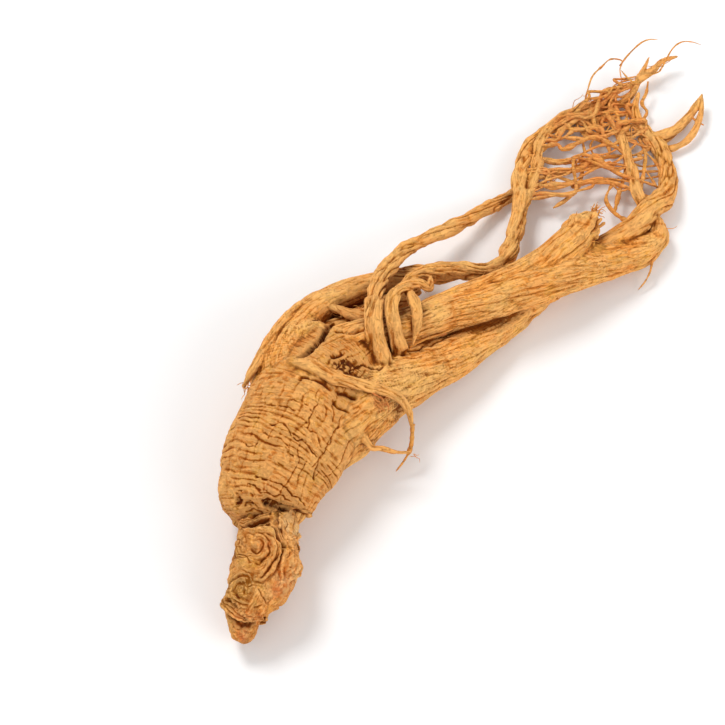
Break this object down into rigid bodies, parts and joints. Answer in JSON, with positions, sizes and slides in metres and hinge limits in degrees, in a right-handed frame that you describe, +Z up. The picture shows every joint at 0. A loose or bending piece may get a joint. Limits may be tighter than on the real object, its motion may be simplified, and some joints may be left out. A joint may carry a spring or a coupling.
{
  "type": "dried ginseng root",
  "caption": "Whole dried ginseng-type root: knobbly scarred neck, stout ringed body and long forked legs with stiff, tangled rootlets.",
  "frame": {"origin": "on the surface that the root lies on, under the centre of its bounding box", "axes": "+Z up, +Y from the neck's end towards the legs' tips, +X to the right when seen from the neck's end"},
  "size_m": [0.1007, 0.1371, 0.0252],
  "materials": {
    "root_skin": "dry, matt, wrinkled"
  },
  "bodies": {
    "root": {"dried_root": "root_skin"}
  },
  "joints": []
}
